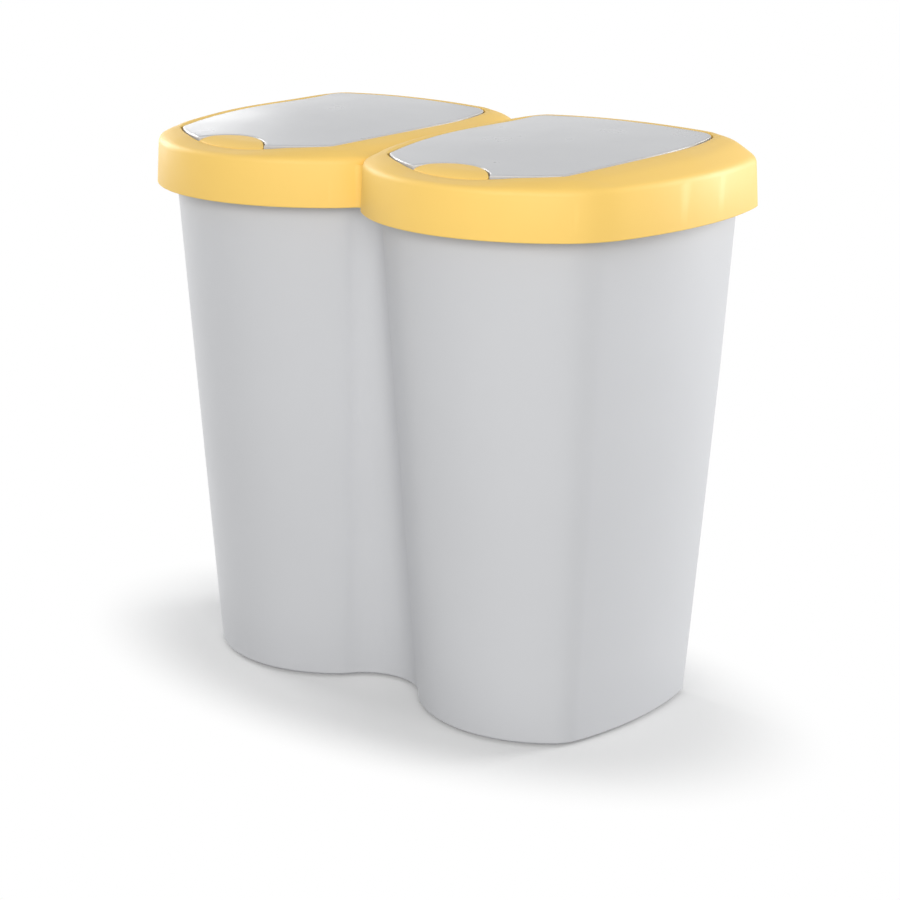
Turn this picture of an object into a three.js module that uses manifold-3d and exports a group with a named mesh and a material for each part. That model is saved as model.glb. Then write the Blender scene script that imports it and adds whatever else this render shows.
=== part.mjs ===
// Double recycling bin: a one-piece body with two chambers, a lift-off lid frame over both,
// and in each half of the lid a domed flap that a push button lets go.
// Millimetres, +Z up, front towards -Y. The origin is on the floor under the middle of the plan.
import * as THREE from "three";
import { mergeVertices } from "three/addons/utils/BufferGeometryUtils.js";
import Module from "manifold-3d";

// ---------- driving dimensions ----------
const PITCH = 250; // between the middles of the two round-fronted halves
// The plan of one half just under the lid skirt, measured from the middle of that half.
const HALF_PLAN = {
  halfWidth: 129.1,
  front: 131.9,
  frontR: 147.3,
  cornerR: 68,
  sideR: 339,
  sideY: 27.5,
  back: 131.9,
  backR: 14,
};
const VALLEY_R = 22.3; // round of the crease between the halves, at the same level
const LEAST_BACK_R = 4;

const SKIRT_BOTTOM = 447; // lower edge of the lid, and the level where the body plan is measured
const BELOW_LID = 430; // cuts through the lid run from here
const ABOVE_LID = 530; // to here
const BODY_DRAFT = 0.0664; // the wall leans in this much for each millimetre down
const BODY_WALL = 2.6;
const WALL_FOOT = 2.7; // lower edge of the outer wall; it stands on a recessed rim
const FOOT_ROUND = 1.6; // the wall's lower edge turns in this much
const STANDING_RIM = { inset: 6, width: 3 };
const FLOOR_UNDER = 5;
const FLOOR_TOP = 8;
const DIVIDER = 3;
const DIVIDER_DRAFT = 0.006;
const CHAMBER_CORNER_R = 10;
const CHAMBER_FLOOR_ROUND = 4;
const RIM_TOP = 471;
const RIM_FLANGE = { reach: 9, thick: 2.8, lipDepth: 10, lipThick: 2.2 };

const SKIRT_GROW = 17.8; // the skirt stands this far outside the body plan
const SKIRT_LEAN = 2.2; // how much narrower the skirt is at its shoulder
const SHOULDER = { wallTop: 483.5, corner: 488.3, roundReach: 5 };
const LID_WALL = 2.5;
const BAND_KINK = { along: 0.55, up: 0.75 }; // the sloping band steepens outside this point

// The mouth in each half of the lid.
const MOUTH_PLAN = {
  halfWidth: 108.3,
  front: 128,
  frontR: 140.5,
  cornerR: 9,
  sideR: 440,
  sideY: 20,
  back: 118.4,
  backR: 17,
};
const COLLAR = { depth: 13, thick: 2.2, shortOfEdge: 1 };
// The frame peaks in a crest outside the mouth's edge. It fades out towards the front,
// and is lower at the back.
const CREST = { outside: 4.2, above: 1.35, fadeFrom: -78, fadeTo: -98 };
const BACK_CREST = { above: 0.4, from: 92, to: 112 };

// The crowned surface of the flaps: an arch from front to back that droops to the sides.
const CROWN = { middle: 508.4, rise: 0.066, bend: 3.9e-4, halfSpan: 104, length: 134.5 };
const DROOP = { middle: 5.66, rise: 0.027 };
const FRONT_LIFT = { from: -84, slope: 0.03 };
// The mouth's edge lies under the crowned surface, and drops further in front, beside the button.
const EDGE_BELOW_CROWN = 0.85;
const FRONT_DIPS = [
  { from: -96, slope: 0.04 },
  { from: -114.6, slope: 0.17 },
];

const FLAP = { gap: 1.8, thick: 2.4, rimDepth: 6, rimThick: 2, notchGap: 1.2 };
// The flap narrows towards its hinge, so that its sides clear the mouth when it stands open.
const FLAP_TAPER = { from: 66, slope: 0.17 };
const HINGE = { y: 90, z: 497, pinR: 2, holeR: 2.35, bossR: 3.8, bossEnd: 110 };
const HINGE_HOLE = { from: 101, to: 111 }; // in the frame, from the middle of the half
const EAR = { inner: 95.8, outer: 105, half: 5.5, bottom: 491.8 };
const PIN_INSIDE = 1; // how far a pin's inner end passes its ear or its spring
const BACK_SWING_GAP = 0.6;

const BUTTON = { half: 38.5, backArcR: 51, backY: -102, seam: 0.4, wall: 2, cap: 2.2, bottom: 483 };
const BUTTON_ROUND = 14; // the cap rounds down to the mouth's edge over this length
const BUTTON_END = 4.5; // solid length at each end of the button
// The opening in the button's back wall through which the catch meets the flap's tongue.
const BUTTON_WINDOW = { half: 9, front: -108.5, back: -100.5, top: 490.5 };
const CARRIER = { bottom: 477, thick: 2, half: 52, back: -96, gap: 0.7 };
const CATCH = { half: 5.5, lipZ: 484, lipThick: 2, lipBack: -101.9, postFront: -110.5, postThick: 2 };
// The tongue stands back from the notch, so that its barb clears the button as the flap swings up.
const TONGUE = { half: 9, setBack: 1.5, bottom: 480, barb: 1.4, barbTop: 483, barbInset: 1 };
const TAB = { x: 33, width: 4, bottom: 483, top: 485, root: 1.6, reach: 3.4 }; // holds the button down
const KEEPER = { above: 0.4, lip: 1.7, back: 3.9, end: 5.6, thick: 1.8 }; // hooks over a tab
const STUD = { x: 48, y: -110, r: 2, headR: 3.2, headZ: 473.5, shelfZ: 482.5, shelfThick: 2.5 };
const STUD_SHELF_HALF = 4;
const STUD_PLAY = 0.4;
const OVERLAP = 0.5; // how far a piece of a part runs into the piece that it grows from

const PUSH_SPRING = { x: 20, y: -116.5, wireR: 0.45, coilR: 3, turns: 5, from: 479.5, to: 492 };
const SPRING_POST = { play: 0.4, height: 3 };
const FLAP_SPRING = { wireR: 0.55, coilR: 3.4, turns: 4.5, from: 87.2, to: 94.6 };
const COIL_STEPS = 8;
const WIRE_SIDES = 5;

const RIB = { thick: 2.4, bottom: 453, top: 479, seat: RIM_TOP + 0.3, clear: 0.3 };
const WEB_THICK = 3;
const WEB_Y = { front: -64, back: 116 };

// ---------- finishes ----------
const finish = (name, color, roughness, metalness = 0) =>
  new THREE.MeshStandardMaterial({ name, color, roughness, metalness });
const greyPlastic = finish("body_plastic", 0xd2d3d5, 0.42);
const flapPlastic = finish("flap_plastic", 0xc8cacd, 0.3);
const yellowPlastic = finish("frame_plastic", 0xfad27a, 0.45);
const innerPlastic = finish("inner_plastic", 0x9a9da1, 0.5);
const steel = finish("steel", 0xb8babd, 0.3, 1);

// ---------- solids ----------
const wasm = await Module();
wasm.setup();

function solid(geometry) {
  const bare = geometry.clone();
  bare.deleteAttribute("normal");
  bare.deleteAttribute("uv");
  const merged = mergeVertices(bare, 1e-4);
  return new wasm.Manifold(
    new wasm.Mesh({
      numProp: 3,
      vertProperties: merged.attributes.position.array,
      triVerts: new Uint32Array(merged.index.array),
    }),
  );
}

function geometryOf(manifold) {
  const mesh = manifold.getMesh();
  const geometry = new THREE.BufferGeometry();
  geometry.setAttribute("position", new THREE.BufferAttribute(mesh.vertProperties, 3));
  geometry.setIndex(new THREE.BufferAttribute(mesh.triVerts, 1));
  geometry.computeVertexNormals();
  return geometry;
}

// A closed solid through rings of the same number of points, lowest ring first.
function loft(rings) {
  const count = rings[0].length;
  const last = (rings.length - 1) * count;
  const faces = [];
  for (let k = 0; k < rings.length - 1; k++) {
    for (let i = 0; i < count; i++) {
      const a = k * count + i;
      const b = k * count + ((i + 1) % count);
      faces.push(a, b, b + count, a, b + count, a + count);
    }
  }
  const flat = (ring) => ring.map(([x, y]) => new THREE.Vector2(x, y));
  for (const [a, b, c] of THREE.ShapeUtils.triangulateShape(flat(rings[0]), [])) {
    faces.push(c, b, a);
  }
  for (const [a, b, c] of THREE.ShapeUtils.triangulateShape(flat(rings.at(-1)), [])) {
    faces.push(last + a, last + b, last + c);
  }
  const geometry = new THREE.BufferGeometry();
  geometry.setAttribute("position", new THREE.Float32BufferAttribute(rings.flat(2), 3));
  geometry.setIndex(faces);
  return solid(geometry);
}

const prism = (ring, bottom, top) => loft([atZ(ring, bottom), atZ(ring, top)]);

function box(x0, x1, y0, y1, z0, z1) {
  const geometry = new THREE.BoxGeometry(x1 - x0, y1 - y0, z1 - z0);
  return solid(geometry.translate((x0 + x1) / 2, (y0 + y1) / 2, (z0 + z1) / 2));
}

// A box given by how far its two ends are from the middle plane, on the side that side = +1 or -1 names.
const sideBox = (side, near, far, ...rest) =>
  side > 0 ? box(near, far, ...rest) : box(-far, -near, ...rest);

function rodAlongX(radius, x0, x1, y, z, sides = 16) {
  const geometry = new THREE.CylinderGeometry(radius, radius, x1 - x0, sides);
  return solid(geometry.rotateZ(Math.PI / 2).translate((x0 + x1) / 2, y, z));
}

// A rod on the hinge axis, given like the ends of sideBox.
const sideRod = (side, radius, near, far) =>
  side > 0
    ? rodAlongX(radius, near, far, HINGE.y, HINGE.z)
    : rodAlongX(radius, -far, -near, HINGE.y, HINGE.z);

function post(radius, x, y, z0, z1, sides = 12) {
  const geometry = new THREE.CylinderGeometry(radius, radius, z1 - z0, sides);
  return solid(geometry.rotateX(Math.PI / 2).translate(x, y, (z0 + z1) / 2));
}

// ---------- plan outlines ----------
const atZ = (ring, z) => ring.map(([x, y]) => [x, y, z]);
const heading = (from, to) => Math.atan2(to[1] - from[1], to[0] - from[0]);

function arc(centre, radius, from, to, steps) {
  return Array.from({ length: steps }, (_, i) => {
    const angle = from + ((to - from) * i) / steps;
    return [centre[0] + radius * Math.cos(angle), centre[1] + radius * Math.sin(angle)];
  });
}

// The front right one of the two points that are r1 from c1 and r2 from c2.
function meet(c1, r1, c2, r2) {
  const apart = Math.hypot(c2[0] - c1[0], c2[1] - c1[1]);
  const along = (r1 * r1 - r2 * r2 + apart * apart) / (2 * apart);
  const off = Math.sqrt(r1 * r1 - along * along);
  const ux = (c2[0] - c1[0]) / apart;
  const uy = (c2[1] - c1[1]) / apart;
  const points = [1, -1].map((s) => [
    c1[0] + along * ux - s * off * uy,
    c1[1] + along * uy + s * off * ux,
  ]);
  return points[0][0] - points[0][1] > points[1][0] - points[1][1] ? points[0] : points[1];
}

// Centres and angles of the arcs of one half's right side, grown outwards by grow.
function sideArcs(plan, grow) {
  const frontR = plan.frontR + grow;
  const cornerR = plan.cornerR + grow;
  const sideR = plan.sideR + grow;
  const backR = Math.max(plan.backR + grow, Math.min(plan.backR, LEAST_BACK_R));
  const back = plan.back + grow;
  const frontC = [0, plan.frontR - plan.front];
  const sideC = [plan.halfWidth - plan.sideR, plan.sideY];
  const cornerC = meet(frontC, frontR - cornerR, sideC, sideR - cornerR);
  const reach = Math.sqrt((sideR - backR) ** 2 - (back - backR - plan.sideY) ** 2);
  const backC = [sideC[0] + reach, back - backR];
  return { frontR, cornerR, sideR, backR, back, frontC, sideC, cornerC, backC };
}

// From the front (or from where the caller's own points end) round the side to the back corner.
function cornerToBack(a) {
  return [
    ...arc(a.cornerC, a.cornerR, heading(a.frontC, a.cornerC), heading(a.sideC, a.cornerC), 4),
    ...arc(a.sideC, a.sideR, heading(a.sideC, a.cornerC), heading(a.sideC, a.backC), 6),
    ...arc(a.backC, a.backR, heading(a.sideC, a.backC), Math.PI / 2, 5),
    [a.backC[0], a.back],
  ];
}

const moved = (points, dx) => points.map(([x, y]) => [x + dx, y]);
const mirrored = (points) => points.map(([x, y]) => [-x, y]).reverse();

// The closed outline of one half, counterclockwise from the middle of its front.
function halfRing(plan, grow, centreX = 0) {
  const a = sideArcs(plan, grow);
  const front = arc(a.frontC, a.frontR, -Math.PI / 2, heading(a.frontC, a.cornerC), 6);
  const right = [...front, ...cornerToBack(a)];
  return moved([...right, [0, a.back], ...mirrored(right.slice(1))], centreX);
}

// The right half of the outline of both halves together, from the crease between them to the back.
function rightOfBoth(grow) {
  const a = sideArcs(HALF_PLAN, grow);
  const frontAngle = heading(a.frontC, a.cornerC);
  const creaseC = [PITCH / 2 - a.cornerC[0], a.cornerC[1]];
  const reach = HALF_PLAN.cornerR + VALLEY_R;
  const valleyC = [0, creaseC[1] - Math.sqrt(reach ** 2 - creaseC[0] ** 2)];
  const turn = heading(valleyC, creaseC);
  return {
    valleyC,
    valleyR: VALLEY_R - grow,
    turn,
    rest: [
      ...arc(creaseC, a.cornerR, turn + Math.PI, Math.PI - frontAngle, 2),
      ...moved(arc(a.frontC, a.frontR, -Math.PI - frontAngle, frontAngle, 12), PITCH / 2),
      ...moved(cornerToBack(a), PITCH / 2),
    ],
    back: a.back,
  };
}

// The closed outline of both halves together.
function bothRing(grow) {
  const { valleyC, valleyR, turn, rest } = rightOfBoth(grow);
  const right = [...arc(valleyC, valleyR, Math.PI / 2, turn, 5), ...rest];
  return [...right, ...mirrored(right.slice(1))];
}

// The outline of the right chamber, with the divider face at x = face.
function chamberRing(grow, face) {
  const { valleyC, valleyR, turn, rest, back } = rightOfBoth(grow);
  const start = Math.acos(face / valleyR);
  const r = CHAMBER_CORNER_R;
  return [
    ...arc(valleyC, valleyR, start, turn, 4),
    ...rest,
    ...arc([face + r, back - r], r, Math.PI / 2, Math.PI, 4),
    [face, back - r],
  ];
}

// ---------- the crowned surface ----------
const inFront = ({ from, slope }, y) => slope * Math.max(0, from - y);

function crown(x, y) {
  const droop = (DROOP.middle + DROOP.rise * y) * (1 - (y / CROWN.length) ** 4);
  const arch = CROWN.middle + CROWN.rise * y - CROWN.bend * y * y + inFront(FRONT_LIFT, y);
  return arch - droop * (x / CROWN.halfSpan) ** 2;
}

const mouthEdge = (x, y) =>
  crown(x, y) - EDGE_BELOW_CROWN - FRONT_DIPS.reduce((sum, dip) => sum + inFront(dip, y), 0);

const mouthHalfWidth = (y) =>
  MOUTH_PLAN.halfWidth -
  MOUTH_PLAN.sideR +
  Math.sqrt(MOUTH_PLAN.sideR ** 2 - (y - MOUTH_PLAN.sideY) ** 2);

// A solid between two levels that follow the crown, over an outline round the origin.
function domed(ring, aboveCrown, belowCrown) {
  const shares = [1, 0.72, 0.4, 0.1];
  const rings = (offset) =>
    shares.map((s) => ring.map(([x, y]) => [x * s, y * s, crown(x * s, y * s) + offset]));
  return loft([...rings(-belowCrown).reverse(), ...rings(aboveCrown)]);
}

// ---------- body ----------
const bodyGrow = (z) => -BODY_DRAFT * (SKIRT_BOTTOM - z);

function makeBody() {
  const footGrow = bodyGrow(WALL_FOOT);
  const wall = loft([
    atZ(bothRing(footGrow - FOOT_ROUND), WALL_FOOT),
    atZ(bothRing(footGrow), WALL_FOOT + FOOT_ROUND),
    atZ(bothRing(0), SKIRT_BOTTOM),
    atZ(bothRing(bodyGrow(RIM_TOP)), RIM_TOP),
  ]);
  const rimGrow = bodyGrow(RIM_TOP) + RIM_FLANGE.reach;
  const lip = prism(bothRing(rimGrow), RIM_TOP - RIM_FLANGE.lipDepth, RIM_TOP);
  const underFlange = prism(
    bothRing(rimGrow - RIM_FLANGE.lipThick),
    RIM_TOP - RIM_FLANGE.lipDepth - 1,
    RIM_TOP - RIM_FLANGE.thick,
  );
  const standing = prism(bothRing(footGrow - STANDING_RIM.inset), 0, FLOOR_UNDER);
  const hollow = footGrow - STANDING_RIM.inset - STANDING_RIM.width;
  const recess = prism(bothRing(hollow), -1, FLOOR_UNDER);
  const chamber = loft(
    [
      [FLOOR_TOP, CHAMBER_FLOOR_ROUND],
      [FLOOR_TOP + CHAMBER_FLOOR_ROUND, 0],
      [RIM_TOP + 1, 0],
    ].map(([z, inset]) => {
      const face = DIVIDER / 2 + DIVIDER_DRAFT * (RIM_TOP - z) + inset;
      return atZ(chamberRing(bodyGrow(z) - BODY_WALL - inset, face), z);
    }),
  );
  return lip
    .subtract(underFlange)
    .add(wall)
    .add(standing)
    .subtract(recess)
    .subtract(chamber)
    .subtract(chamber.mirror([1, 0, 0]));
}

// ---------- lid frame ----------
const share = (value, from, to) => Math.min(1, Math.max(0, (value - from) / (to - from)));

// The outside of one half of the lid, or with wall > 0 the space under its shell.
function lidHalf(centreX, wall) {
  const foot = halfRing(HALF_PLAN, SKIRT_GROW - wall);
  const outer = halfRing(HALF_PLAN, SKIRT_GROW - SKIRT_LEAN - wall);
  const edge = halfRing(MOUTH_PLAN, 0);
  const crested = edge.map(([, y]) => share(y, CREST.fadeTo, CREST.fadeFrom));
  const wide = halfRing(MOUTH_PLAN, CREST.outside);
  const crest = edge.map((p, i) => p.map((v, axis) => v + (wide[i][axis] - v) * crested[i]));
  const crestZ = edge.map((p, i) => {
    const lower = (CREST.above - BACK_CREST.above) * share(p[1], BACK_CREST.from, BACK_CREST.to);
    return mouthEdge(...p) + CREST.above * crested[i] - lower;
  });
  const along = outer.map(([x, y], i) => Math.hypot(crest[i][0] - x, crest[i][1] - y));
  const between = (i, s) => outer[i].map((v, axis) => v + (crest[i][axis] - v) * s);
  const bandZ = (i, s) => {
    const rise = crestZ[i] - SHOULDER.corner;
    const { along: kink, up } = BAND_KINK;
    const share = s < kink ? (s * up) / kink : up + ((s - kink) * (1 - up)) / (1 - kink);
    return SHOULDER.corner + rise * share - wall;
  };
  const band = (s) => outer.map((_, i) => [...between(i, s), bandZ(i, s)]);
  // A round shoulder: a curve from the wall's top to the band, drawn to the sharp corner between them.
  const shoulder = (t) =>
    outer.map((p, i) => {
      const s = SHOULDER.roundReach / along[i];
      const low = SHOULDER.wallTop - wall / 2;
      const corner = SHOULDER.corner - wall;
      const z = (1 - t) ** 2 * low + 2 * t * (1 - t) * corner + t * t * bandZ(i, s);
      return [...between(i, s * t * t), z];
    });
  const peak = edge.map(([x, y]) => [x * 0.1, y * 0.1, CROWN.middle - 2 - wall]);
  const bottom = wall > 0 ? SKIRT_BOTTOM - 4 : SKIRT_BOTTOM;
  const round = wall > 0 ? [0, 1] : [0, 0.35, 0.7, 1];
  const kink = BAND_KINK.along;
  const slope = wall > 0 ? [kink, 1] : [kink - 0.08, kink + 0.08, 1];
  const inner = wall > 0 ? [] : [edge.map(([x, y]) => [x * 0.99, y * 0.99, mouthEdge(x, y)])];
  const rings = [atZ(foot, bottom), ...round.map(shoulder), ...slope.map(band), ...inner, peak];
  return loft(rings).translate([centreX, 0, 0]);
}

function collar(centreX) {
  const ring = halfRing(MOUTH_PLAN, COLLAR.thick);
  const low = ring.map(([x, y]) => [x, y, mouthEdge(x, y) - COLLAR.depth]);
  const high = ring.map(([x, y]) => [x, y, mouthEdge(x, y) - COLLAR.shortOfEdge]);
  return loft([low, high]).translate([centreX, 0, 0]);
}

// Ribs inside the skirt that sit on the body's rim and centre the lid on it.
// Each is set by the arc of the plan that it stands on: its centre, radius and direction.
function seatRibs() {
  const a = sideArcs(HALF_PLAN, 0);
  const right = [
    [a.frontC, a.frontR, -100],
    [a.frontC, a.frontR, -65],
    [a.cornerC, a.cornerR, -32],
    [a.sideC, a.sideR, -8],
    [a.sideC, a.sideR, 9],
    [[30, 0], a.back, 90],
    [[-70, 0], a.back, 90],
  ];
  const lipGrow = bodyGrow(RIM_TOP) + RIM_FLANGE.reach;
  const outer = SKIRT_GROW - SKIRT_LEAN - 1;
  const ribs = [];
  for (const [centre, radius, degrees] of right) {
    const blade = (from, bottom) =>
      box(radius + from, radius + outer, -RIB.thick / 2, RIB.thick / 2, bottom, RIB.top);
    const rib = blade(lipGrow + RIB.clear, RIB.bottom)
      .add(blade(1, RIB.seat))
      .rotate([0, 0, degrees])
      .translate([centre[0] + PITCH / 2, centre[1], 0]);
    ribs.push(rib, rib.mirror([1, 0, 0]));
  }
  return ribs;
}

function makeLidFrame() {
  const centres = [-PITCH / 2, PITCH / 2];
  // The skirt runs round both halves and bridges the creases between them, front and back.
  const skirt = (wall, bottom) =>
    loft([
      atZ(bothRing(SKIRT_GROW - wall), bottom),
      atZ(bothRing(SKIRT_GROW - SKIRT_LEAN - wall), SHOULDER.wallTop - wall),
    ]);
  const outside = centres.reduce((all, x) => all.add(lidHalf(x, 0)), skirt(0, SKIRT_BOTTOM));
  const within = centres.map((x) => lidHalf(x, LID_WALL));
  let frame = [...within, skirt(LID_WALL, SKIRT_BOTTOM - 4)].reduce(
    (all, space) => all.subtract(space),
    outside,
  );
  const web = box(-WEB_THICK / 2, WEB_THICK / 2, WEB_Y.front, WEB_Y.back, RIB.seat, CROWN.middle);
  const inside = [web, ...seatRibs()];
  for (const x of centres) {
    inside.push(collar(x));
    for (const side of [-1, 1]) {
      const near = mouthHalfWidth(HINGE.y) - OVERLAP;
      inside.push(sideRod(side, HINGE.bossR, near, HINGE.bossEnd).translate([x, 0, 0]));
    }
  }
  for (const piece of inside) frame = frame.add(piece.intersect(outside));
  for (const x of centres) {
    frame = frame.subtract(prism(halfRing(MOUTH_PLAN, 0, x), BELOW_LID, ABOVE_LID));
    for (const side of [-1, 1]) {
      const shelf = sideBox(
        side,
        STUD.x - STUD_SHELF_HALF,
        STUD.x + STUD_SHELF_HALF,
        frontY(STUD.x, 0) - OVERLAP,
        STUD.y + STUD_SHELF_HALF,
        STUD.shelfZ,
        STUD.shelfZ + STUD.shelfThick,
      );
      const headTop = CARRIER.bottom - STUD_PLAY;
      const hole = sideRod(side, HINGE.holeR, HINGE_HOLE.from, HINGE_HOLE.to);
      frame = frame
        .add(shelf.translate([x, 0, 0]))
        .add(post(STUD.r, x + side * STUD.x, STUD.y, STUD.headZ, STUD.shelfZ + OVERLAP))
        .add(post(STUD.headR, x + side * STUD.x, STUD.y, STUD.headZ, headTop))
        .subtract(hole.translate([x, 0, 0]));
    }
  }
  return frame;
}

// ---------- push button ----------
const frontArcC = [0, MOUTH_PLAN.frontR - MOUTH_PLAN.front];
const frontY = (x, grow) => frontArcC[1] - Math.sqrt((MOUTH_PLAN.frontR + grow) ** 2 - x * x);
const backY = (x, grow) =>
  BUTTON.backY - BUTTON.backArcR + Math.sqrt((BUTTON.backArcR + grow) ** 2 - x * x);

// A solid over the lens between the mouth's front arc and the button's back arc.
function lens(half, frontGrow, backGrow, top, bottom, across = 14, deep = 5) {
  const point = (i, j) => {
    const x = half * ((2 * i) / across - 1);
    const y0 = frontY(x, frontGrow);
    return [x, y0 + (backY(x, backGrow) - y0) * (j / deep)];
  };
  const vertices = [];
  for (const height of [bottom, top]) {
    for (let i = 0; i <= across; i++) {
      for (let j = 0; j <= deep; j++) {
        const [x, y] = point(i, j);
        vertices.push(x, y, height(x, y));
      }
    }
  }
  const index = (level, i, j) => (level * (across + 1) + i) * (deep + 1) + j;
  const faces = [];
  const quad = (a, b, c, d) => faces.push(a, b, c, a, c, d);
  for (let i = 0; i < across; i++) {
    for (let j = 0; j < deep; j++) {
      quad(index(0, i, j), index(0, i, j + 1), index(0, i + 1, j + 1), index(0, i + 1, j));
      quad(index(1, i, j), index(1, i + 1, j), index(1, i + 1, j + 1), index(1, i, j + 1));
    }
    quad(index(0, i, 0), index(0, i + 1, 0), index(1, i + 1, 0), index(1, i, 0));
    quad(index(0, i + 1, deep), index(0, i, deep), index(1, i, deep), index(1, i + 1, deep));
  }
  for (let j = 0; j < deep; j++) {
    quad(index(0, 0, j + 1), index(0, 0, j), index(1, 0, j), index(1, 0, j + 1));
    quad(index(0, across, j), index(0, across, j + 1), index(1, across, j + 1), index(1, across, j));
  }
  const geometry = new THREE.BufferGeometry();
  geometry.setAttribute("position", new THREE.Float32BufferAttribute(vertices, 3));
  geometry.setIndex(faces);
  return solid(geometry);
}

function buttonTop(x, y) {
  const inside = MOUTH_PLAN.frontR - Math.hypot(x - frontArcC[0], y - frontArcC[1]);
  const edge = [x, frontY(x, 0)];
  const drop = crown(...edge) - mouthEdge(...edge);
  return crown(x, y) - drop * Math.max(0, 1 - inside / BUTTON_ROUND) ** 2;
}

function makeButton() {
  const flat = (z) => () => z;
  const shell = lens(BUTTON.half, -BUTTON.seam, 0, buttonTop, flat(BUTTON.bottom));
  const under = (x, y) => buttonTop(x, y) - BUTTON.cap;
  const inner = -BUTTON.seam - BUTTON.wall;
  const half = BUTTON.half - BUTTON_END;
  const hollow = lens(half, inner, -BUTTON.wall, under, flat(BUTTON.bottom - 1), 12, 3);
  const { half: side, front, back, top } = BUTTON_WINDOW;
  const button = shell
    .subtract(hollow)
    .subtract(box(-side, side, front, back, BUTTON.bottom - 1, top));
  const wallY = backY(TAB.x, 0);
  const tab = box(
    TAB.x - TAB.width / 2,
    TAB.x + TAB.width / 2,
    wallY - TAB.root,
    wallY + TAB.reach,
    TAB.bottom,
    TAB.top,
  );
  return button.add(tab).add(tab.mirror([1, 0, 0]));
}

// ---------- latch carrier under the button ----------
function makeCarrier() {
  const top = CARRIER.bottom + CARRIER.thick;
  const steps = 12;
  const frontEdge = Array.from({ length: steps + 1 }, (_, i) => {
    const x = CARRIER.half * ((2 * i) / steps - 1);
    return [x, frontY(x, -CARRIER.gap)];
  });
  const plate = [...frontEdge, [CARRIER.half, CARRIER.back], [-CARRIER.half, CARRIER.back]];
  const root = top - OVERLAP;
  const { half, lipZ, lipThick, lipBack, postFront, postThick } = CATCH;
  const lipTop = lipZ + lipThick;
  const wallY = backY(TAB.x, 0);
  const barZ = TAB.top + KEEPER.above;
  const barTop = barZ + KEEPER.thick;
  const springPostR = PUSH_SPRING.coilR - PUSH_SPRING.wireR - SPRING_POST.play;
  let carrier = prism(plate, CARRIER.bottom, top)
    .add(box(-half, half, postFront, postFront + postThick, root, lipTop))
    .add(box(-half, half, postFront, lipBack, lipZ, lipTop));
  for (const side of [-1, 1]) {
    const keeper = (fromY, fromZ) =>
      sideBox(
        side,
        TAB.x - TAB.width / 2,
        TAB.x + TAB.width / 2,
        wallY + fromY,
        wallY + KEEPER.end,
        fromZ,
        barTop,
      );
    const springX = side * PUSH_SPRING.x;
    const studX = side * STUD.x;
    carrier = carrier
      .add(post(springPostR, springX, PUSH_SPRING.y, root, top + SPRING_POST.height))
      .add(keeper(KEEPER.back, root))
      .add(keeper(KEEPER.lip, barZ))
      .subtract(post(STUD.r + STUD_PLAY, studX, STUD.y, CARRIER.bottom - 1, top + 1));
  }
  return carrier;
}

// ---------- flap ----------
// The solid that the back of the flap may fill: a body of revolution about the hinge axis
// whose radius stops short of the mouth's back edge.
function backSwing(inset) {
  const edge = halfRing(MOUTH_PLAN, 0)
    .filter(([, y]) => y > HINGE.y)
    .map(([x, y]) => new THREE.Vector2(y - HINGE.y - BACK_SWING_GAP - inset, x))
    .filter((p) => p.x > 0)
    .sort((p, q) => p.y - q.y);
  const profile = [new THREE.Vector2(0, edge[0].y), ...edge, new THREE.Vector2(0, edge.at(-1).y)];
  const geometry = new THREE.LatheGeometry(profile, 40);
  return solid(geometry.rotateZ(-Math.PI / 2).translate(0, HINGE.y, HINGE.z));
}

function flapRing(inset) {
  const { from, slope } = FLAP_TAPER;
  return halfRing(MOUTH_PLAN, -FLAP.gap - inset).map(([x, y]) => {
    const limit = mouthHalfWidth(from) - FLAP.gap - inset - slope * (y - from);
    return [Math.min(limit, Math.max(-limit, x)), y];
  });
}

function flapSpace(inset, above, below) {
  const reach = MOUTH_PLAN.halfWidth + 1;
  const behind = box(-reach, reach, HINGE.y + 0.01, MOUTH_PLAN.back + 1, BELOW_LID, ABOVE_LID);
  return domed(flapRing(inset), above, below).subtract(behind.subtract(backSwing(inset)));
}

function makeFlap() {
  const beyondMouth = 6;
  const notch = (grow, bottom) =>
    lens(BUTTON.half + grow, beyondMouth, grow, () => ABOVE_LID, () => bottom, 14, 1);
  const shell = flapSpace(0, 0, FLAP.rimDepth).subtract(notch(FLAP.notchGap, BELOW_LID));
  const hollow = flapSpace(FLAP.rimThick, -FLAP.thick, FLAP.rimDepth + 3)
    .subtract(notch(FLAP.notchGap + FLAP.rimThick, BELOW_LID));
  const outline = prism(flapRing(0), EAR.bottom, CROWN.middle);
  // The ears and the tongue stop inside the flap's shell.
  const roof = flapSpace(OVERLAP, -OVERLAP, CROWN.middle - EAR.bottom + 1);
  let flap = shell.subtract(hollow);
  for (const side of [-1, 1]) {
    const front = HINGE.y - EAR.half;
    const back = HINGE.y + EAR.half;
    const ear = sideBox(side, EAR.inner, EAR.outer, front, back, EAR.bottom, CROWN.middle);
    flap = flap
      .add(ear.intersect(outline).intersect(roof))
      .subtract(sideRod(side, HINGE.holeR, EAR.inner - 1, EAR.outer));
  }
  const { half, setBack, bottom, barb, barbTop, barbInset } = TONGUE;
  const face = backY(0, FLAP.notchGap) + setBack;
  const tongue = box(-half, half, face, face + FLAP.rimThick, bottom, CROWN.middle);
  const width = half - barbInset;
  const hook = box(-width, width, face - barb, face + 1, bottom, barbTop);
  return flap.add(tongue.intersect(roof)).add(hook);
}

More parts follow.
